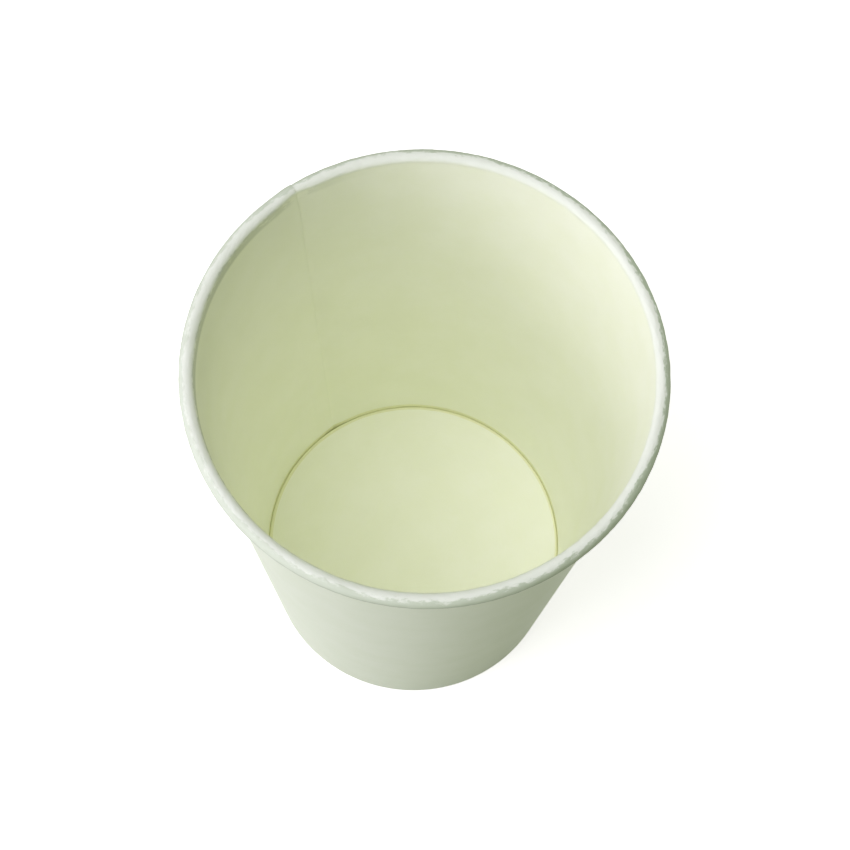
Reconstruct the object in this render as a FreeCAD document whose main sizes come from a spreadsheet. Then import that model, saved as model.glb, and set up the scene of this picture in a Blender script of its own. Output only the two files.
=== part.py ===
import FreeCAD, Part
import math
import os
import Sketcher

# A single-wall paper cup in millimetres: one wrapped, lapped, rolled and hemmed wall, and one drawn
# base disc held in its hem. +Z is up, and the origin is the centre of the ring that the cup stands on.
# The side seam lies towards +Y.

doc = FreeCAD.newDocument("paper_cup")
sheet = doc.addObject("Spreadsheet::Sheet", "sizes")


def size(row, word, value, note):
    sheet.set(f"A{row}", word)
    sheet.set(f"B{row}", str(value))
    sheet.set(f"C{row}", note)
    sheet.setAlias(f"B{row}", word)


DRIVING = [
    ("rim_width", 90.0, "diameter over the rolled rim"),
    ("cup_height", 112.0, "table to the top of the rim"),
    ("foot_width", 61.0, "outside of the wall, carried on down to the table"),
    ("wall_board", 0.38, "thickness of the wall's board"),
    ("base_board", 0.33, "thickness of the base disc's board"),
    ("roll_width", 3.0, "diameter of the rim's roll"),
    ("roll_gap", 0.08, "air between the turns of the roll"),
    ("roll_end", 72.0, "how far the second turn runs on past the wall, degrees"),
    ("roll_stagger", 3.0, "how much sooner the lapped layer's roll ends, degrees"),
    ("lap_width", 7.0, "width of the sealed side seam"),
    ("seal_depth", 0.02, "how far the coats of the lapped layers melt into one another"),
    ("ramp_angle", 3.5, "turn over which the sheet climbs onto the lap, degrees"),
    ("fold_radius", 0.08, "inner radius of the fold at the foot"),
    ("floor_height", 10.5, "table to the upper face of the base disc"),
    ("floor_radius", 0.6, "outer radius of the bend between floor and skirt"),
    ("hem_drop", 1.4, "underside of the floor down to the hem's raw edge"),
    ("skirt_lift", 0.15, "inside of the fold up to the skirt's raw edge"),
    ("seal_gap", 0.02, "coat between the skirt and the layers on each side of it"),
]
for number, (word, value, note) in enumerate(DRIVING, start=1):
    size(number, word, value, note)
doc.recompute()
cell = {word: float(sheet.get(word)) for word, value, note in DRIVING}

# Lines that both pieces are set out from. The wall passes through the foot point and just touches
# the roll, which settles how far it leans.
ROLL_X = "(sizes.rim_width - sizes.roll_width) / 2"
ROLL_Z = "sizes.cup_height - sizes.roll_width / 2"
FOOT_X = "sizes.foot_width / 2"
roll_x = (cell["rim_width"] - cell["roll_width"]) / 2
roll_z = cell["cup_height"] - cell["roll_width"] / 2
foot_x = cell["foot_width"] / 2
across = roll_x - foot_x
lean = math.acos((cell["roll_width"] / 2 - cell["wall_board"]) / math.hypot(across, roll_z))
lean -= math.atan2(roll_z, across)
LEG_SPACE = "sizes.base_board + 2 * sizes.seal_gap"

# How many flats each bend of the board is worked in.
HALF_ROLL_FLATS = 5
TAIL_FLATS = 2
FOLD_FACE_FLATS = 1
FOLD_BACK_FLATS = 2
CORNER_FLATS = 3

# The lap is first turned this many times too far, and the trim has to take off at least this much.
LAP_MARGIN = 1.5
LEAST_TRIM = 1.0


def origin_plane(body, role):
    return [part for part in body.Origin.OriginFeatures if part.Role == role][0]


def polar(radius, angle):
    return FreeCAD.Vector(radius * math.cos(angle), radius * math.sin(angle), 0)


class BoardSketch:
    """The section through a bent board. The path runs along its face with the board on the left,
    in straight runs and bends that join smoothly; the back follows one board thickness away.
    A bend's arcs are guides, and the board is cut along equal flats inscribed in them."""

    def __init__(self, body, name, place, heading, thickness):
        self.sketch = body.newObject("Sketcher::SketchObject", name)
        self.sketch.AttachmentSupport = (origin_plane(body, "YZ_Plane"), [""])
        self.sketch.MapMode = "FlatFace"
        self.place = place
        self.heading = heading
        self.thickness = thickness
        self.face = []
        self.back = []
        self.constraints = []
        self.rules = {}

    def left(self):
        return polar(1, self.heading + math.pi / 2)

    def line(self, start, end):
        return self.sketch.addGeometry(Part.LineSegment(start, end), False)

    def run(self, length):
        offset = self.left() * self.thickness
        end = self.place + polar(length, self.heading)
        self.face.append((self.line(self.place, end), 1, 2))
        self.back.append((self.line(self.place + offset, end + offset), 1, 2))
        self.place = end

    def bend(self, radius, turn, face_flats, back_flats):
        """Turns left by a positive angle and right by a negative one; radius is the face's."""
        side = math.copysign(1, turn)
        centre = self.place + self.left() * (side * radius)
        start = self.heading - side * math.pi / 2
        enter, leave = (1, 2) if turn > 0 else (2, 1)
        for chain, bend_radius, flats in (
            (self.face, radius, face_flats),
            (self.back, radius - side * self.thickness, back_flats),
        ):
            circle = Part.Circle(centre, FreeCAD.Vector(0, 0, 1), bend_radius)
            arc = Part.ArcOfCircle(circle, min(start, start + turn), max(start, start + turn))
            guide = self.sketch.addGeometry(arc, True)
            chain.append((guide, enter, leave))
            corners = [centre + polar(bend_radius, start + turn * k / flats) for k in range(flats + 1)]
            sides = [self.line(a, b) for a, b in zip(corners, corners[1:])]
            self.fix("Coincident", sides[0], 1, guide, enter)
            self.fix("Coincident", sides[-1], 2, guide, leave)
            for one, two in zip(sides, sides[1:]):
                self.fix("Coincident", one, 2, two, 1)
                self.fix("PointOnObject", one, 2, guide)
                self.fix("Equal", one, two)
        self.heading += turn
        self.place = centre + polar(radius, start + turn)

    def fix(self, *terms, rule=None):
        if rule:
            self.rules[len(self.constraints)] = rule
        self.constraints.append(Sketcher.Constraint(*terms))

    def is_bend(self, index):
        return isinstance(self.sketch.Geometry[index], Part.ArcOfCircle)

    def square_off(self, thickness_rule):
        """Joins the runs and bends, keeps both sides parallel and closes the two raw edges."""
        for chain in (self.face, self.back):
            for (one, enter_one, leave_one), (two, enter_two, leave_two) in zip(chain, chain[1:]):
                self.fix("Tangent", one, leave_one, two, enter_two)
        for (front, *front_spots), (rear, *rear_spots) in zip(self.face, self.back):
            if self.is_bend(front):
                self.fix("Coincident", front, 3, rear, 3)
            else:
                self.fix("Parallel", front, rear)
        edges = []
        for number, spot in ((0, 1), (-1, 2)):
            front, rear = self.face[number], self.back[number]
            start = self.sketch.getPoint(front[0], front[spot])
            end = self.sketch.getPoint(rear[0], rear[spot])
            edge = self.line(start, end)
            self.fix("Coincident", edge, 1, front[0], front[spot])
            self.fix("Coincident", edge, 2, rear[0], rear[spot])
            if self.is_bend(front[0]):
                self.fix("PointOnObject", front[0], 3, edge)
            else:
                self.fix("Perpendicular", edge, front[0])
            edges.append(edge)
        self.fix("Distance", edges[0], self.thickness, rule=thickness_rule)

    def mark(self, x, z):
        """A guide point of the section."""
        return self.sketch.addGeometry(Part.Point(FreeCAD.Vector(x, z, 0)), True)

    def finish(self):
        self.sketch.addConstraint(self.constraints)
        for index, rule in self.rules.items():
            self.sketch.setExpression(f"Constraints[{index}]", rule)
        return self.sketch


def wall_section(body, name, layer):
    """The wall's board from the end of the rim's roll, over the top, down the side and up round
    the hem. Layer 0 is the turn of the cup, and layer 1 is the lapped end that lies outside it."""
    board = cell["wall_board"]
    pitch = board + cell["roll_gap"]
    melt = cell["seal_depth"]
    outset = layer * (board - melt)
    roll = cell["roll_width"] / 2 - outset
    end_turn = math.radians(cell["roll_end"] - layer * cell["roll_stagger"])
    centre = FreeCAD.Vector(roll_x, roll_z, 0)
    start = centre + polar(roll - pitch, math.pi - lean - end_turn)
    section = BoardSketch(body, name, start, 1.5 * math.pi - lean - end_turn, board)
    fold = cell["fold_radius"]
    leg_space = cell["base_board"] + 2 * cell["seal_gap"] + 2 * outset
    hem_top = cell["floor_height"] - cell["base_board"] - cell["hem_drop"]
    section.bend(roll - pitch, end_turn, TAIL_FLATS, TAIL_FLATS)
    section.bend(roll - pitch / 2, math.pi, HALF_ROLL_FLATS, HALF_ROLL_FLATS)
    section.bend(roll, math.pi, HALF_ROLL_FLATS, HALF_ROLL_FLATS)
    wall_foot = board + fold * (1 - math.sin(lean))
    section.run((section.place.y - wall_foot) / math.cos(lean))
    section.bend(fold, -(math.pi / 2 - lean), FOLD_FACE_FLATS, FOLD_BACK_FLATS)
    section.run((leg_space - 2 * fold) / math.cos(lean))
    section.bend(fold, -(math.pi / 2 + lean), FOLD_FACE_FLATS, FOLD_BACK_FLATS)
    section.run((hem_top - section.place.y) / math.cos(lean))
    section.square_off("sizes.wall_board")

    tail, under, over, wall, fold_out, flat, fold_in, hem = [index for index, *spots in section.face]
    roll_rule = f"(sizes.roll_width / 2 - {layer} * (sizes.wall_board - sizes.seal_depth))"
    pitch_rule = "(sizes.wall_board + sizes.roll_gap)"
    section.fix("DistanceX", -1, 1, over, 3, roll_x, rule=ROLL_X)
    section.fix("DistanceY", -1, 1, over, 3, roll_z, rule=ROLL_Z)
    section.fix("Radius", over, roll, rule=roll_rule)
    section.fix("Radius", under, roll - pitch / 2, rule=f"{roll_rule} - {pitch_rule} / 2")
    section.fix("Radius", tail, roll - pitch, rule=f"{roll_rule} - {pitch_rule}")
    section.fix("Angle", over, math.pi)
    section.fix("Angle", under, math.pi)
    section.fix("Angle", tail, end_turn, rule=f"(sizes.roll_end - {layer} * sizes.roll_stagger) * 1deg")
    section.fix("Radius", fold_out, fold, rule="sizes.fold_radius")
    section.fix("Radius", fold_in, fold, rule="sizes.fold_radius")
    section.fix("Horizontal", flat)
    section.fix("PointOnObject", section.back[5][0], 1, -1)
    section.fix("Parallel", wall, hem)
    spacing = f"{LEG_SPACE} + 2 * {layer} * (sizes.wall_board - sizes.seal_depth)"
    section.fix("Distance", hem, 2, wall, leg_space, rule=spacing)
    hem_rule = "sizes.floor_height - sizes.base_board - sizes.hem_drop"
    section.fix("DistanceY", -1, 1, hem, 2, hem_top, rule=hem_rule)

    # The foot point lies on the turn's outer face, which is the lapped layer's inner face.
    foot = section.mark(foot_x - layer * melt, 0)
    section.fix("PointOnObject", foot, 1, -1)
    section.fix("DistanceX", -1, 1, foot, 1, foot_x, rule=f"{FOOT_X} - {layer} * sizes.seal_depth")
    outer_face = section.back[3][0] if layer == 0 else wall
    section.fix("PointOnObject", foot, 1, outer_face)
    return section.finish()


# Side wall: one fan-shaped blank of coated board. It is wrapped to a cone, its end is sealed over
# its start along the side, the top is rolled outwards and the foot is folded in and up.
side_wall = doc.addObject("PartDesign::Body", "side_wall")

lap_section = wall_section(side_wall, "lap_section", 1)
lap = side_wall.newObject("PartDesign::Revolution", "lap")
lap.Profile = lap_section
lap.ReferenceAxis = (lap_section, ["V_Axis"])
lap.setExpression("Angle", f"{LAP_MARGIN} * asin(2 * sizes.lap_width / sizes.foot_width)")
doc.recompute()

# The lap is turned further than it needs, and its raw edge is then cut parallel to the seam plane,
# so the seam is as wide at the rim as at the foot.
trim_section = side_wall.newObject("Sketcher::SketchObject", "trim_section")
trim_section.AttachmentSupport = (origin_plane(side_wall, "XY_Plane"), [""])
trim_section.MapMode = "FlatFace"
lap_width, reach = cell["lap_width"], cell["rim_width"]
corners = [(-lap_width, 0), (-lap_width, reach), (-reach, reach), (-reach, 0)]
for number, (x, y) in enumerate(corners):
    x_next, y_next = corners[(number + 1) % 4]
    side = Part.LineSegment(FreeCAD.Vector(x, y, 0), FreeCAD.Vector(x_next, y_next, 0))
    trim_section.addGeometry(side, False)
for number in range(4):
    trim_section.addConstraint(Sketcher.Constraint("Coincident", number, 2, (number + 1) % 4, 1))
    trim_section.addConstraint(Sketcher.Constraint(("Vertical", "Horizontal")[number % 2], number))
trim_section.addConstraint(Sketcher.Constraint("PointOnObject", 0, 1, -1))
for terms, rule in (
    (("DistanceX", 0, 1, -1, 1, lap_width), "sizes.lap_width"),
    (("DistanceX", 2, 1, -1, 1, reach), "sizes.rim_width"),
    (("DistanceY", -1, 1, 0, 2, reach), "sizes.rim_width"),
):
    index = trim_section.addConstraint(Sketcher.Constraint(*terms))
    trim_section.setExpression(f"Constraints[{index}]", rule)
trim = side_wall.newObject("PartDesign::Pocket", "trim")
trim.Profile = trim_section
trim.Type = "ThroughAll"
trim.Reversed = True
doc.recompute()
if lap.Shape.Volume - trim.Shape.Volume < LEAST_TRIM:
    raise RuntimeError("the lap was not trimmed")

# The turn starts at its raw edge in the seam plane and goes round to where the sheet climbs.
turn_section = wall_section(side_wall, "turn_section", 0)
back_off = FreeCAD.Rotation(FreeCAD.Vector(0, 1, 0), -cell["ramp_angle"])
turn_section.AttachmentOffset = FreeCAD.Placement(FreeCAD.Vector(0, 0, 0), back_off)
turn_section.setExpression("AttachmentOffset.Rotation.Angle", "-sizes.ramp_angle")
turn = side_wall.newObject("PartDesign::Revolution", "turn")
turn.Profile = turn_section
turn.ReferenceAxis = (turn_section, ["V_Axis"])
turn.Reversed = True
turn.setExpression("Angle", "360 - sizes.ramp_angle")
doc.recompute()

# Over the ramp the sheet climbs by its own thickness, from the turn onto the lap.
ramp_section = wall_section(side_wall, "ramp_section", 1)
ramp = side_wall.newObject("PartDesign::AdditiveLoft", "ramp")
ramp.Profile = turn_section
ramp.Sections = [ramp_section]
ramp.Ruled = True
doc.recompute()


# Base disc: a round blank of thinner board, drawn to a flat floor with a skirt that points down.
base_disc = doc.addObject("PartDesign::Body", "base_disc")
skirt_start = cell["wall_board"] + cell["skirt_lift"]
inset = cell["wall_board"] + cell["seal_gap"]
skirt_x = foot_x - inset / math.cos(lean) + skirt_start * math.tan(lean)
base = BoardSketch(
    base_disc, "base_section", FreeCAD.Vector(skirt_x, skirt_start, 0), math.pi / 2 - lean,
    cell["base_board"],
)
bend_radius = cell["floor_radius"]
bend_z = cell["floor_height"] - bend_radius
base.run((bend_z - bend_radius * math.sin(lean) - skirt_start) / math.cos(lean))
base.bend(bend_radius, math.pi / 2 + lean, CORNER_FLATS, CORNER_FLATS)
base.run(base.place.x)
base.square_off("sizes.base_board")
skirt, corner, floor = [index for index, *spots in base.face]
base.fix("Radius", corner, bend_radius, rule="sizes.floor_radius")
base.fix("Horizontal", floor)
base.fix("DistanceY", -1, 1, floor, 2, cell["floor_height"], rule="sizes.floor_height")
base.fix("PointOnObject", floor, 2, -2)
lift_rule = "sizes.wall_board + sizes.skirt_lift"
base.fix("DistanceY", -1, 1, skirt, 1, skirt_start, rule=lift_rule)
roll_mark = base.mark(roll_x, roll_z)
base.fix("DistanceX", -1, 1, roll_mark, 1, roll_x, rule=ROLL_X)
base.fix("DistanceY", -1, 1, roll_mark, 1, roll_z, rule=ROLL_Z)
foot_mark = base.mark(foot_x, 0)
base.fix("DistanceX", -1, 1, foot_mark, 1, foot_x, rule=FOOT_X)
base.fix("PointOnObject", foot_mark, 1, -1)
roll_reach = cell["roll_width"] / 2 + cell["seal_gap"]
base.fix("Distance", roll_mark, 1, skirt, roll_reach, rule="sizes.roll_width / 2 + sizes.seal_gap")
base.fix("Distance", foot_mark, 1, skirt, inset, rule="sizes.wall_board + sizes.seal_gap")
base_section = base.finish()
tray = base_disc.newObject("PartDesign::Revolution", "tray")
tray.Profile = base_section
tray.ReferenceAxis = (base_section, ["V_Axis"])
tray.Angle = 360
doc.recompute()


for item in doc.Objects:
    if "Invalid" in item.State or "Error" in item.State:
        raise RuntimeError(f"{item.Label} did not compute: {item.State}")
pieces = [side_wall, base_disc]
for piece in pieces:
    if piece.Shape.isNull() or not piece.Shape.isValid() or len(piece.Shape.Solids) != 1:
        raise RuntimeError(f"{piece.Label} is not one valid solid")

os.makedirs("parts", exist_ok=True)
for piece in pieces:
    piece.Shape.exportStep(f"parts/{piece.Label}.step")
    box = piece.Shape.BoundBox
    extent = f"{box.XLength:.2f} x {box.YLength:.2f} x {box.ZLength:.2f}"
    print(f"{piece.Label}: {piece.Shape.Volume:.1f} mm3, {extent}")
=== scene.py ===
import math

import bmesh
import bpy
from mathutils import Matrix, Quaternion, Vector


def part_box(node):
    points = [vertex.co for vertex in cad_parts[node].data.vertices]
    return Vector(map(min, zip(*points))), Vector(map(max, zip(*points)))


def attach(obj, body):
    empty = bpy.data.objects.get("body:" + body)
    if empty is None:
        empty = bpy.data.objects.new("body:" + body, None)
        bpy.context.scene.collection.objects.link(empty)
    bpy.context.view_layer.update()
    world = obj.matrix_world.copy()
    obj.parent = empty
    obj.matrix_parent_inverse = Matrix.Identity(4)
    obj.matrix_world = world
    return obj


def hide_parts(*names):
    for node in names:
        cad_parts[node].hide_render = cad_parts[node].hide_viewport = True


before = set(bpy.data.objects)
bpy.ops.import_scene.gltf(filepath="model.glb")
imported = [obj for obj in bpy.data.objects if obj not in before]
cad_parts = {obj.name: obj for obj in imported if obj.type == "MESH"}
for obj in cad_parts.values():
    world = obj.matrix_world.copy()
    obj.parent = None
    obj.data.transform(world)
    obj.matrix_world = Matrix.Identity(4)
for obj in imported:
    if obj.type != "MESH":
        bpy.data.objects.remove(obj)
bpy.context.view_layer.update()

# ---------------------------------------------------------------------------------------------------
# Side wall. One fan-shaped blank of coated paper board, wrapped to a cone. Its end is heat-sealed
# over its start along the side, its top edge is curled outwards into the rim, and its foot is folded
# in and up round the base as a hem.
# ---------------------------------------------------------------------------------------------------
MM = 0.001
WALL_BOARD = 0.38 * MM
BASE_BOARD = 0.33 * MM
COAT_GAP = 0.02 * MM          # melted coat between the skirt and the layers on each side of it
ROLL_RADIUS = 1.41 * MM
ROLL_PITCH = 0.46 * MM        # the board and the air between two turns of the curl
TAIL_TURN = math.radians(72)  # how far the second turn runs on past the wall
UNDER_ROLL = 3 * MM           # stretch of wall below the curl that is divided finely
FOOT_RADIUS = 30.5 * MM       # outer face of the wall, carried on down to the table
FOOT_CLEARANCE = 0.001 * MM   # keeps the folded foot's faces off the table
FOLD_RADIUS = 0.08 * MM
HEM_TOP = 8.8 * MM
LAP_WIDTH = 7.0 * MM
LAP_TURN = math.radians(16)   # turned too far, then cut parallel to the seam
LAP_STEP = 0.385 * MM         # the lapped layer lies this far outside the first
RAMP_TURN = math.radians(6)
NOTCH_SPARE = math.radians(1)
FOLD_RAMP = (1.2, 2.4, 3.6)   # degrees past the lap at which the lifted fold comes down by a third
WALL_COLUMNS = 450
EDGE_COLUMNS = 9              # columns before the start edge that the sealing jaw presses
EDGE_PART = 0.25              # the start edge is pressed to this part of its thickness
CRINKLE = 0.07 * MM           # how far the curl's surface wanders
CRINKLE_SIZE = 1.3 * MM
SEAM_HALF = 0.015             # half the turn of curl that is drawn out at the seam, in radians
SEAM_LIFT = 0.28 * MM         # how far it is drawn out and up
SEAM_LIFT_REACH = 5 * MM
KNURL_DEPTH = 0.06 * MM
KNURL_BAND = (3 * MM, 7.8 * MM)
KNURL_COLUMNS = 5             # one flute in this many columns
PLAIN_HEM = (-0.15, 0.35)     # turns from the seam between which the hem isn't knurled, in radians
EDGE_ROUNDING = 0.03 * MM
NEAR = 0.01 * MM
NEAR_TURN = 0.0002
DOUBLES_REACH = 0.001 * MM

wall_low, wall_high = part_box("side_wall")
rim_reach = min(wall_high.x, wall_high.y, -wall_low.x, -wall_low.y)
roll_y = rim_reach - ROLL_RADIUS - CRINKLE
roll_z = wall_high.z - ROLL_RADIUS - CRINKLE
tail_radius = ROLL_RADIUS - WALL_BOARD / 2 - ROLL_PITCH
hem_space = BASE_BOARD + 2 * COAT_GAP

# The wall leans out so far that it runs smoothly into the curl.
across = roll_y - FOOT_RADIUS
lean = math.acos((ROLL_RADIUS - WALL_BOARD) / math.hypot(across, roll_z)) - math.atan2(roll_z, across)


def new_piece(name):
    """An empty mesh at the origin, open in edit mode."""
    bpy.ops.object.select_all(action="DESELECT")
    bpy.ops.mesh.primitive_plane_add(size=MM)
    piece = bpy.context.object
    piece.name = name
    bpy.ops.object.mode_set(mode="EDIT")
    bpy.ops.mesh.delete(type="VERT")
    return piece


def azimuth(place):
    """Turn about the cup's axis from the seam at +Y, counter-clockwise seen from above."""
    return math.atan2(-place.x, place.y)


def pick(piece, wanted, kind="verts"):
    """Selects the vertices, edges or faces whose place wanted() says yes to. An edge's and a face's
    place is its middle."""
    bpy.ops.mesh.select_all(action="DESELECT")
    mesh = bmesh.from_edit_mesh(piece.data)
    for item in getattr(mesh, kind):
        if kind == "verts":
            place = item.co
        elif kind == "edges":
            place = (item.verts[0].co + item.verts[1].co) / 2
        else:
            place = item.calc_center_median()
        if wanted(place):
            item.select_set(True)
    mesh.select_flush_mode()
    bmesh.update_edit_mesh(piece.data)


class Pen:
    """Draws the middle line of a bent board in the seam plane, in runs and bends that join smoothly.
    Headings and turns are in radians, and a positive turn is to the left seen from +X."""

    def __init__(self, y, z, heading):
        self.place = Vector((0, y, z))
        self.heading = heading
        bpy.ops.mesh.select_all(action="DESELECT")
        bpy.ops.mesh.primitive_plane_add(size=MM, location=self.place)
        bpy.ops.mesh.merge(type="CENTER")

    def towards(self, angle):
        return Vector((0, math.cos(angle), math.sin(angle)))

    def run(self, length, steps=1):
        stride = self.towards(self.heading) * (length / steps)
        for _ in range(steps):
            bpy.ops.mesh.extrude_region_move(TRANSFORM_OT_translate={"value": stride})
        self.place += stride * steps

    def bend(self, radius, turn, steps):
        side = math.copysign(1, turn)
        centre = self.place + self.towards(self.heading + side * math.pi / 2) * radius
        bpy.ops.mesh.spin(steps=steps, angle=-turn, center=centre, axis=(1, 0, 0))
        self.heading += turn
        self.place = centre + self.towards(self.heading - side * math.pi / 2) * radius


def draw_wall(layer):
    """The wall's section from the inner end of the curl down to the top of the hem. Layer 0 is the
    turn of the cup, and layer 1 is the lapped end outside it."""
    outset = layer * LAP_STEP
    over = ROLL_RADIUS - WALL_BOARD / 2 - outset
    tail = tail_radius - outset
    start = math.pi - lean - TAIL_TURN
    pen = Pen(roll_y + tail * math.cos(start), roll_z + tail * math.sin(start), start + math.pi / 2)
    pen.bend(tail, TAIL_TURN, steps=6)
    pen.bend(over - ROLL_PITCH / 2, math.pi, steps=14)
    pen.bend(over, math.pi, steps=18)
    pen.run(UNDER_ROLL, steps=5)
    fold = FOLD_RADIUS + WALL_BOARD / 2
    fold_z = WALL_BOARD / 2 + fold + FOOT_CLEARANCE
    pen.run((pen.place.z - fold_z + fold * math.sin(lean)) / math.cos(lean), steps=7)
    pen.bend(fold, lean - math.pi / 2, steps=5)
    pen.run((hem_space + 2 * outset - 2 * FOLD_RADIUS) / math.cos(lean))
    pen.bend(fold, -lean - math.pi / 2, steps=5)
    pen.run((HEM_TOP - pen.place.z) / math.cos(lean), steps=6)


def sweep(turn, columns):
    """Turns the selected section about the cup's axis, counter-clockwise seen from above."""
    bpy.ops.mesh.spin(steps=columns, angle=-turn, center=(0, 0, 0), axis=(0, 0, 1))


# The ramp, where the sheet climbs on to the lap, is bridged between two sections. The lap is swept on
# from its end and trimmed, and the rest of the turn is swept back from its start to the start edge.
wall = new_piece("rolled_wall")
draw_wall(0)
bpy.ops.mesh.select_all(action="SELECT")
bpy.ops.transform.rotate(value=RAMP_TURN, orient_axis="Z", center_override=(0, 0, 0))
draw_wall(1)
bpy.ops.mesh.select_all(action="SELECT")
bpy.ops.mesh.bridge_edge_loops(number_cuts=6, interpolation="LINEAR")
pick(wall, lambda place: abs(place.x) < NEAR, "edges")
sweep(LAP_TURN, columns=14)
bpy.ops.mesh.select_all(action="SELECT")
bpy.ops.mesh.bisect(plane_co=(-LAP_WIDTH, 0, 0), plane_no=(1, 0, 0), clear_inner=True)
pick(wall, lambda place: abs(azimuth(place) + RAMP_TURN) < NEAR_TURN, "edges")
column_turn = (2 * math.pi - RAMP_TURN) / WALL_COLUMNS
sweep((EDGE_COLUMNS - WALL_COLUMNS) * column_turn, columns=WALL_COLUMNS - EDGE_COLUMNS)
bpy.ops.object.vertex_group_add()
wall.vertex_groups.active.name = "pressed"
for column in range(EDGE_COLUMNS):
    sweep(-column_turn, columns=1)
    bpy.context.scene.tool_settings.vertex_group_weight = (column + 1) / EDGE_COLUMNS
    bpy.ops.object.vertex_group_assign()
bpy.context.scene.tool_settings.vertex_group_weight = 1


def from_roll(place):
    """Out and up from the middle of the curl, in the section through a place."""
    return Vector((math.hypot(place.x, place.y) - roll_y, place.z - roll_z))


# The blank's corner is notched, so under the lap the first layer's curl has no second turn.
notch_turn = math.asin(LAP_WIDTH / roll_y) + NOTCH_SPARE
wall_up = Vector((math.sin(lean), math.cos(lean)))
pick(wall, lambda place: 0 < azimuth(place) < notch_turn and from_roll(place).dot(wall_up) > 0
     and abs(from_roll(place).length - tail_radius) < 3 * NEAR, "faces")
bpy.ops.mesh.delete(type="FACE")

# Under the lap the first layer's fold stands on the second, so it is lifted by a board, and it comes
# down again over the next columns.
fold_level = WALL_BOARD + FOLD_RADIUS
fold_y = FOOT_RADIUS + fold_level * math.tan(lean) - (WALL_BOARD + hem_space / 2) / math.cos(lean)
lap_foot_turn = math.asin(LAP_WIDTH / fold_y)
for further in FOLD_RAMP:
    reach = lap_foot_turn + math.radians(further)
    pick(wall, lambda place: -NEAR_TURN < azimuth(place) < reach and place.z < 3 * fold_level
         and abs(math.hypot(place.x, place.y) - fold_y) < hem_space + 5 * NEAR)
    bpy.ops.transform.translate(value=(0, 0, LAP_STEP / len(FOLD_RAMP)))

# The curling tool presses the rim to one outline, which evens out most of the step at the seam.
pick(wall, lambda place: abs(azimuth(place)) < SEAM_HALF and from_roll(place).length < ROLL_RADIUS)
bpy.ops.transform.translate(value=(0, SEAM_LIFT, SEAM_LIFT), use_proportional_edit=True,
                            proportional_edit_falloff="SMOOTH", proportional_size=SEAM_LIFT_REACH)

# The hem is knurled from inside as it is pressed on to the skirt, all round but at the seam.
pick(wall, lambda place: KNURL_BAND[0] < place.z < KNURL_BAND[1]
     and not PLAIN_HEM[0] < azimuth(place) < PLAIN_HEM[1]
     and math.hypot(place.x, place.y) < fold_y + (place.z - fold_level) * math.tan(lean)
     and round((azimuth(place) + RAMP_TURN) / column_turn) % KNURL_COLUMNS == 0)
pressed_in = 1 - KNURL_DEPTH / fold_y
bpy.ops.transform.resize(value=(pressed_in, pressed_in, 1), center_override=(0, 0, 0))

# The curl's group of vertices fades out into the wall, so that its crinkles do too.
pick(wall, lambda place: from_roll(place).length < ROLL_RADIUS)
bpy.ops.object.vertex_group_add()
wall.vertex_groups.active.name = "curl"
bpy.ops.object.vertex_group_assign()
bpy.ops.mesh.select_all(action="SELECT")
bpy.ops.object.vertex_group_smooth(group_select_mode="ACTIVE", factor=0.5, repeat=12, expand=0.2)
bpy.ops.mesh.select_all(action="SELECT")
bpy.ops.mesh.remove_doubles(threshold=DOUBLES_REACH)
bpy.ops.mesh.normals_make_consistent(inside=False)
bpy.ops.object.mode_set(mode="OBJECT")


def modify(piece, kind, **settings):
    """Adds a modifier and applies it."""
    modifier = piece.modifiers.new(kind.lower(), kind)
    for name, value in settings.items():
        setattr(modifier, name, value)
    bpy.context.view_layer.objects.active = piece
    bpy.ops.object.modifier_apply(modifier=modifier.name)


# The sealing jaw presses the start edge on to the lap, so it thins towards its end.
modify(wall, "DISPLACE", vertex_group="pressed", mid_level=0, strength=(EDGE_PART - 1) * WALL_BOARD / 2)

# Curling stretches the board, which leaves its surface slightly crinkled.
crinkles = bpy.data.textures.new("crinkles", "CLOUDS")
crinkles.noise_scale = CRINKLE_SIZE
crinkles.noise_depth = 2
modify(wall, "DISPLACE", texture=crinkles, texture_coords="LOCAL", vertex_group="curl",
       mid_level=0.5, strength=2 * CRINKLE)


def make_board(piece, thickness, **pressing):
    """Gives a middle surface its board: the face, the back in the next material, the raw edges in the
    one after it. Raw edges are cut square and keep a hair of rounding."""
    modify(piece, "SOLIDIFY", thickness=thickness, offset=0, use_even_offset=True,
           material_offset=1, material_offset_rim=2, **pressing)
    modify(piece, "BEVEL", width=EDGE_ROUNDING, segments=2, limit_method="ANGLE",
           angle_limit=math.radians(60))
    bpy.ops.object.select_all(action="DESELECT")
    piece.select_set(True)
    bpy.ops.object.shade_smooth_by_angle(angle=math.radians(40))


class Signal:
    """A socket in a finish's maths. Python's operators on it add Math nodes."""

    def __init__(self, finish, socket):
        self.finish = finish
        self.socket = socket

    def __add__(self, other):
        return self.finish.math("ADD", self, other)

    def __sub__(self, other):
        return self.finish.math("SUBTRACT", self, other)

    def __rsub__(self, other):
        return self.finish.math("SUBTRACT", other, self)

    def __mul__(self, other):
        return self.finish.math("MULTIPLY", self, other)

    def __truediv__(self, other):
        return self.finish.math("DIVIDE", self, other)

    __radd__ = __add__
    __rmul__ = __mul__

    def other(self, name):
        """Another output of the node this one comes from."""
        return Signal(self.finish, self.socket.node.outputs[name])

    def step(self, low, high):
        """0 at low, 1 at high, and smooth between them. Low may be the larger of the two."""
        return self.finish.node("ShaderNodeMapRange", {"interpolation_type": "SMOOTHSTEP"},
                                {"Value": self, "From Min": low, "From Max": high})


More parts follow.
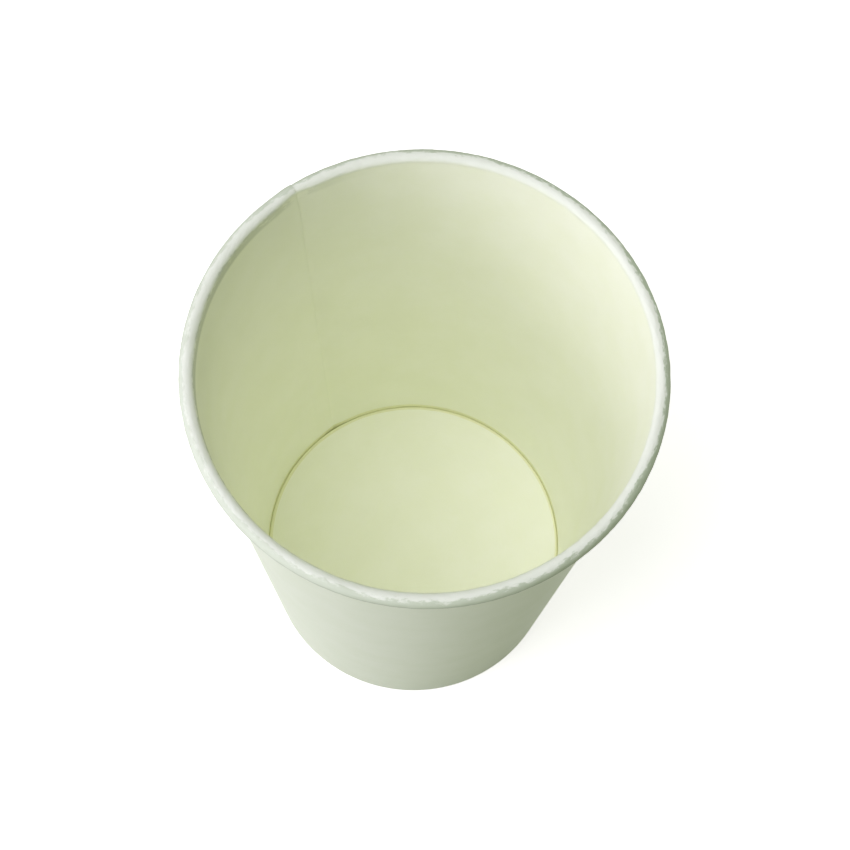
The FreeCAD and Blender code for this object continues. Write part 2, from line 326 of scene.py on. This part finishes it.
class Finish:
    """A procedural finish on a material or the surround. node() adds a node of any type, with its
    settings and then the values or links of its sockets, and gives back one of its outputs."""

    def __init__(self, owner):
        self.owner = owner
        owner.use_nodes = True
        self.tree = owner.node_tree
        self.tree.nodes.clear()

    def node(self, kind, settings=None, values=None, output=0):
        added = self.tree.nodes.new(kind)
        for name, value in (settings or {}).items():
            setattr(added, name, value)
        for name, value in (values or {}).items():
            socket = added.inputs[name]
            if isinstance(value, Signal):
                self.tree.links.new(value.socket, socket)
            else:
                socket.default_value = value
        return Signal(self, added.outputs[output]) if added.outputs else None

    def math(self, operation, *terms):
        return self.node("ShaderNodeMath", {"operation": operation}, dict(enumerate(terms)))

    def mix(self, factor, first, second):
        return self.node("ShaderNodeMix", {"data_type": "RGBA"}, {0: factor, 6: first, 7: second}, 2)

    def noise(self, place, size, detail=2.0, roughness=0.5, stretch=(1, 1, 1)):
        """Cloudy noise whose features are about size metres across, times stretch."""
        scale = [1 / (size * part) for part in stretch]
        spread = self.node("ShaderNodeMapping", None, {"Vector": place, "Scale": scale})
        return self.node("ShaderNodeTexNoise", None,
                         {"Vector": spread, "Scale": 1.0, "Detail": detail, "Roughness": roughness})

    def surface(self, colour, roughness, height, depth, **constants):
        """The finished surface. Height is a bump of that depth in metres."""
        bump = self.node("ShaderNodeBump", None, {"Height": height, "Distance": depth, "Strength": 1.0})
        values = {"Base Color": colour, "Roughness": roughness, "Normal": bump}
        values.update({name.replace("_", " "): value for name, value in constants.items()})
        shader = self.node("ShaderNodeBsdfPrincipled", None, values)
        self.node("ShaderNodeOutputMaterial", None, {"Surface": shader})
        return self.owner


class Blank:
    """Where a point of the cup lies on its board, laid flat. Radius is the cup's own at the place where
    laying it flat neither stretches nor squeezes it."""

    def __init__(self, finish, radius):
        self.place = finish.node("ShaderNodeTexCoord", output="Object")
        self.x = finish.node("ShaderNodeSeparateXYZ", None, {0: self.place})
        self.y = self.x.other("Y")
        self.up = self.x.other("Z")
        self.out = finish.math("SQRT", self.x * self.x + self.y * self.y)
        around = finish.math("ARCTAN2", self.x, 0 - self.y) * radius
        self.flat = finish.node("ShaderNodeCombineXYZ", None, {0: around, 1: self.out, 2: self.up})

    def side(self, turn):
        """1 on the side at that turn from the seam, and 0 opposite."""
        return 0.5 + 0.5 * ((math.cos(turn) * self.y - math.sin(turn) * self.x) / self.out)


INNER_LIGHT = (0.922, 0.938, 0.83, 1)
INNER_DEEP = (0.902, 0.922, 0.787, 1)
RIM_LIGHT = (0.85, 0.88, 0.82, 1)
# Painted shade for the curl's outer flank.
RIM_SHADE = (0.47, 0.54, 0.41, 1)
# Darker painted shade for under the curl and for inside it on the lit side.
CURL_DEEP_SHADE = (0.36, 0.40, 0.33, 1)
OUTER_LIGHT = (0.81, 0.85, 0.755, 1)
OUTER_DEEP = (0.785, 0.83, 0.72, 1)
SEAL = (0.84, 0.85, 0.62, 1)
EDGE_LIGHT = (0.90, 0.90, 0.84, 1)
EDGE_DEEP = (0.78, 0.79, 0.70, 1)
SEAL_WIDTH = 0.3 * MM
SEAL_AT_SEAM = 0.35 * MM      # the joint's melted coat is this much wider at the seam
SEAL_WANDER = 0.3 * MM
SEAL_BLUR = 0.06 * MM
COAT_DEPTH = 0.012 * MM
FIBRE_DEPTH = 0.03 * MM
WRINKLE = 9                   # how many times deeper the curl's wrinkles are than the coat's own
RIM_DEPTH = (1.6 * MM, 0.4 * MM)    # below the rim's top, where the stretched coat starts and is full
INNER_SHADE_DEPTH = (3.6 * MM, 2.4 * MM)  # the same for the painted shade inside the rim
LIT_SIDE_TURN = math.radians(65)     # from the seam to the middle of the side the lamps light, which the painted shade on the curl follows
ALONG_RIM = (2.2, 1, 1)       # flecks and patches are longer along the rim
MIDDLE_RADIUS = 40 * MM       # about the wall's own, for its fibres
INNER_SHINE = 0.12
OUTER_SHINE = 0.03
EDGE_SHINE = 0.1
floor_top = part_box("base_disc")[1].z


def curl_coat(finish, blank, colour, height):
    """The coat's colour and height on the curl, and how far a place is on it. Curling stretches the
    coat, which is greyer there. Shade is painted on the curl: in flecks on its outer flank and under it,
    both fainter on the lit side, and inside it on the lit side, where its inner flank faces away from
    the lamps."""
    depth = wall_high.z - blank.up
    outer = (blank.out - roll_y) / ROLL_RADIUS
    under = (roll_z - blank.up) / ROLL_RADIUS
    rim = finish.math("MAXIMUM", depth.step(*RIM_DEPTH), outer.step(-0.3, 0.3))
    fleck = finish.noise(blank.flat, 0.5 * MM, detail=4, roughness=0.6, stretch=ALONG_RIM)
    patch = finish.noise(blank.flat, 2.5 * MM, detail=3, roughness=0.6, stretch=ALONG_RIM)
    # The side the lamps light. The painted shade outside and under the curl is fainter there, and the
    # painted shade inside the curl lies only there.
    lit_side = blank.side(LIT_SIDE_TURN)
    shade_weight = 1 - 0.6 * lit_side
    # Painted shade on the curl's outer flank, broken into flecks, fainter on the lit side.
    outer_shade = (outer * 0.7 + patch + fleck).step(1.05, 1.4) * shade_weight
    # Painted shade under the curl, fainter on the lit side.
    under_shade = under.step(-0.35, 0.1) * outer.step(0, 0.5) * shade_weight
    # Painted shade on the curl's inner flank on the lit side, where it faces away from the lamps, with a
    # ragged edge.
    inner = (outer + (fleck + patch - 1) * 0.8).step(-0.74, -1.0)
    inner_shade = inner * depth.step(*INNER_SHADE_DEPTH) * lit_side.step(0.5, 0.95)
    colour = finish.mix(rim, colour, finish.mix(outer_shade, RIM_LIGHT, RIM_SHADE))
    colour = finish.mix(0.8 * under_shade, colour, CURL_DEEP_SHADE)
    colour = finish.mix(0.5 * inner_shade, colour, CURL_DEEP_SHADE)
    return colour, height + rim * (fleck + patch * 2) * WRINKLE, rim


def coated_board(name, light, deep, radius, shine, curled=False, sealed=None):
    """Paper board under a thin plastic coat: fine fibres lying mostly round the cup, a faint cloudy
    formation, and a satin surface. sealed() gives where melted coat of a given width has pooled."""
    finish = Finish(bpy.data.materials.new(name))
    blank = Blank(finish, radius)
    cloud = finish.noise(blank.place, 9 * MM, detail=3)
    fibre = finish.noise(blank.flat, 0.16 * MM, detail=3, roughness=0.6, stretch=(9, 1, 1))
    cross = finish.noise(blank.flat, 0.2 * MM, detail=2, stretch=(1, 1, 5))
    peel = finish.noise(blank.place, 0.7 * MM, detail=2)
    colour = finish.mix((cloud * 0.6 + fibre * 0.4).step(0.35, 0.65), deep, light)
    height = fibre * 0.5 + cross * 0.3 + peel * 0.6
    roughness = 0.40 + 0.12 * fibre + 0.06 * cloud
    if sealed:
        pool = finish.noise(blank.flat, 3 * MM, detail=3, stretch=(2, 1, 1))
        joint = sealed(blank, SEAL_WIDTH + SEAL_AT_SEAM * blank.side(0) + SEAL_WANDER * pool)
        colour = finish.mix(joint, colour, SEAL)
    if curled:
        colour, height, rim = curl_coat(finish, blank, colour, height)
        roughness = roughness + 0.15 * rim
    return finish.surface(colour, roughness, height, COAT_DEPTH, Specular_IOR_Level=shine)


def raw_board(name):
    """Cut edge of the board: bare fibre, matt and a little darker in its layers."""
    finish = Finish(bpy.data.materials.new(name))
    place = finish.node("ShaderNodeTexCoord", output="Object")
    fibre = finish.noise(place, 0.12 * MM, detail=4, roughness=0.65)
    colour = finish.mix(fibre.step(0.3, 0.7), EDGE_DEEP, EDGE_LIGHT)
    roughness = 0.75 + 0.15 * fibre
    return finish.surface(colour, roughness, fibre, FIBRE_DEPTH, Specular_IOR_Level=EDGE_SHINE)


def wall_seal(blank, width):
    """Melted coat on the wall, up to a width above the floor."""
    return (floor_top + width - blank.up).step(-SEAL_BLUR, SEAL_BLUR)


wall.data.materials.append(coated_board(
    "inside_coat", INNER_LIGHT, INNER_DEEP, MIDDLE_RADIUS, INNER_SHINE, curled=True, sealed=wall_seal))
wall.data.materials.append(coated_board(
    "outside_coat", OUTER_LIGHT, OUTER_DEEP, MIDDLE_RADIUS, OUTER_SHINE))
wall.data.materials.append(raw_board("cut_edge"))
make_board(wall, WALL_BOARD, vertex_group="pressed", invert_vertex_group=True,
           thickness_vertex_group=EDGE_PART)
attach(wall, "root")
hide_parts("side_wall")

# ---------------------------------------------------------------------------------------------------
# Base disc. A round blank of thinner board, coated on its upper face, drawn to a shallow tray whose
# skirt points down. The skirt is sealed between the wall and its hem.
# ---------------------------------------------------------------------------------------------------
BASE_COLUMNS = 200
CORNER_RADIUS = 0.5 * MM
SKIRT_EDGE = 0.95 * MM
DISH = 0.03                   # slope by which the floor falls from its corner, in radians
SLOPE_WIDTH = 5 * MM
DISH_RADIUS = 30 * MM         # of the bend from the slope to the level middle
FLOOR_RADIUS = 20 * MM        # somewhat past half-way out, for its fibres
FLOOR_SEAL = 0.8              # the melted coat's width on the floor, as a part of that on the wall

inset = WALL_BOARD + COAT_GAP + BASE_BOARD / 2
skirt_y = FOOT_RADIUS - inset / math.cos(lean) + SKIRT_EDGE * math.tan(lean)
bend = CORNER_RADIUS - BASE_BOARD / 2
corner_y = skirt_y + (floor_top - CORNER_RADIUS - SKIRT_EDGE) * math.tan(lean)

base = new_piece("drawn_base")
pen = Pen(skirt_y, SKIRT_EDGE, math.pi / 2 - lean)
pen.run((floor_top - CORNER_RADIUS - bend * math.sin(lean) - SKIRT_EDGE) / math.cos(lean), steps=6)
pen.bend(bend, math.pi / 2 + lean + DISH, steps=9)
pen.run(SLOPE_WIDTH, steps=4)
pen.bend(DISH_RADIUS, -DISH, steps=3)
pen.run(pen.place.y, steps=12)
bpy.ops.mesh.select_all(action="SELECT")
sweep(2 * math.pi, BASE_COLUMNS)
bpy.ops.mesh.select_all(action="SELECT")
bpy.ops.mesh.remove_doubles(threshold=NEAR)
bpy.ops.mesh.normals_make_consistent(inside=False)
bpy.ops.object.mode_set(mode="OBJECT")


def floor_seal(blank, width):
    """Melted coat on the floor, from its corner inwards."""
    return (blank.out - corner_y + width * FLOOR_SEAL).step(-SEAL_BLUR, SEAL_BLUR)


base.data.materials.append(coated_board(
    "floor_coat", INNER_LIGHT, INNER_DEEP, FLOOR_RADIUS, INNER_SHINE, sealed=floor_seal))
base.data.materials.append(raw_board("bare_underside"))
base.data.materials.append(raw_board("base_cut_edge"))
make_board(base, BASE_BOARD)
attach(base, "root")
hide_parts("base_disc")

# ---------------------------------------------------------------------------------------------------
# Table and backdrop. One sheet of plain white card, which reads as white where it is looked at and
# keeps the cup's shadow. To the light it is a greyer card, so that it throws less light on the cup.
# ---------------------------------------------------------------------------------------------------
SHEET_RADIUS = 1.0
SHEET_MARGIN = 0.5
SHEET_GREY = (0.42, 0.45, 0.34, 1)
SHEET_WHITE = (0.8, 0.8, 0.8, 1)
SHEET_GLOW = (1, 0.98, 1, 1)
GLOW_STRENGTH = 0.65

bpy.ops.object.select_all(action="DESELECT")
bpy.ops.mesh.primitive_circle_add(vertices=96, radius=SHEET_RADIUS, fill_type="NGON")
table = bpy.context.object
table.name = "table"
bpy.ops.object.mode_set(mode="EDIT")
bpy.ops.mesh.inset(thickness=SHEET_MARGIN)
bpy.ops.object.mode_set(mode="OBJECT")


def looked_at(finish):
    """1 for the rays that show a surface, directly or in something shiny or clear, and 0 for the rays
    that only carry its light."""
    rays = finish.node("ShaderNodeLightPath", output="Is Camera Ray")
    return rays + rays.other("Is Glossy Ray") + rays.other("Is Transmission Ray")


finish = Finish(bpy.data.materials.new("table_sheet"))
plain = finish.node("ShaderNodeBsdfDiffuse", None, {"Color": SHEET_GREY})
white = finish.node("ShaderNodeBsdfDiffuse", None, {"Color": SHEET_WHITE})
glow = finish.node("ShaderNodeEmission", None, {"Color": SHEET_GLOW, "Strength": GLOW_STRENGTH})
bright = finish.node("ShaderNodeAddShader", None, {0: white, 1: glow})
sheet = finish.node("ShaderNodeMixShader", None, {0: looked_at(finish), 1: plain, 2: bright})
finish.node("ShaderNodeOutputMaterial", None, {"Surface": sheet})
table.data.materials.append(finish.owner)

# ---------------------------------------------------------------------------------------------------
# Light. Three soft lamps on the left, low, high and broad, a weak one low on the far right, and a dim
# surround that is white where it is looked at. Pale board passes light on many times before it fades.
# ---------------------------------------------------------------------------------------------------
LAMP_COLOUR = (0.92, 0.88, 1)
LAMP_DISTANCE = 1.2
LAMP_AIM = Vector((0, 0, 0.06))       # about the middle of the cup
SURROUND_DIM = (0.87, 1, 0.55, 1)
SURROUND_WHITE = (1, 1, 1, 1)
SURROUND_STRENGTH = 0.25


def soft_lamp(name, turn, rise, width, power):
    """A round lamp that faces the cup. Turn is in degrees from +X, counter-clockwise seen from above,
    and rise is in degrees above the table."""
    turn = math.radians(turn)
    rise = math.radians(rise)
    back = Vector((math.cos(rise) * math.cos(turn), math.cos(rise) * math.sin(turn), math.sin(rise)))
    bpy.ops.object.light_add(type="AREA", location=LAMP_AIM + back * LAMP_DISTANCE,
                             rotation=back.to_track_quat("Z", "Y").to_euler())
    lamp = bpy.context.object
    lamp.name = name
    lamp.data.shape = "DISK"
    lamp.data.size = width
    lamp.data.energy = power
    lamp.data.color = LAMP_COLOUR


soft_lamp("low_lamp", turn=174, rise=16, width=0.9, power=7.4)
soft_lamp("high_lamp", turn=150, rise=70, width=0.9, power=4.8)
soft_lamp("broad_lamp", turn=180, rise=60, width=1.8, power=7.5)
soft_lamp("back_lamp", turn=3, rise=0, width=0.3, power=5)

bpy.context.scene.world = bpy.data.worlds.new("surround")
finish = Finish(bpy.context.scene.world)
dim = finish.node("ShaderNodeBackground", None, {"Color": SURROUND_DIM, "Strength": SURROUND_STRENGTH})
white = finish.node("ShaderNodeBackground", None, {"Color": SURROUND_WHITE, "Strength": 1.0})
surround = finish.node("ShaderNodeMixShader", None, {0: looked_at(finish), 1: dim, 2: white})
finish.node("ShaderNodeOutputWorld", None, {"Surface": surround})
bpy.context.scene.cycles.diffuse_bounces = 12
bpy.context.scene.cycles.max_bounces = 16

# ---------------------------------------------------------------------------------------------------
# Camera. It stands in front, looks steeply down into the cup, and is rolled a little. Its place is in
# metres, and its lens in millimetres.
# ---------------------------------------------------------------------------------------------------
STAND = (-0.113297, -0.146121, 0.580553)
DOWN = math.radians(69.6165)
ASIDE = math.radians(38)
ROLLED = math.radians(4.1011)
LENS = 117.23

look = Vector((math.cos(DOWN) * math.sin(ASIDE), math.cos(DOWN) * math.cos(ASIDE), -math.sin(DOWN)))
aim = look.to_track_quat("-Z", "Y") @ Quaternion((0, 0, 1), ROLLED)
bpy.ops.object.camera_add(location=STAND, rotation=aim.to_euler())
camera = bpy.context.object
camera.data.lens = LENS
bpy.context.scene.camera = camera
bpy.context.scene.view_settings.view_transform = "Standard"
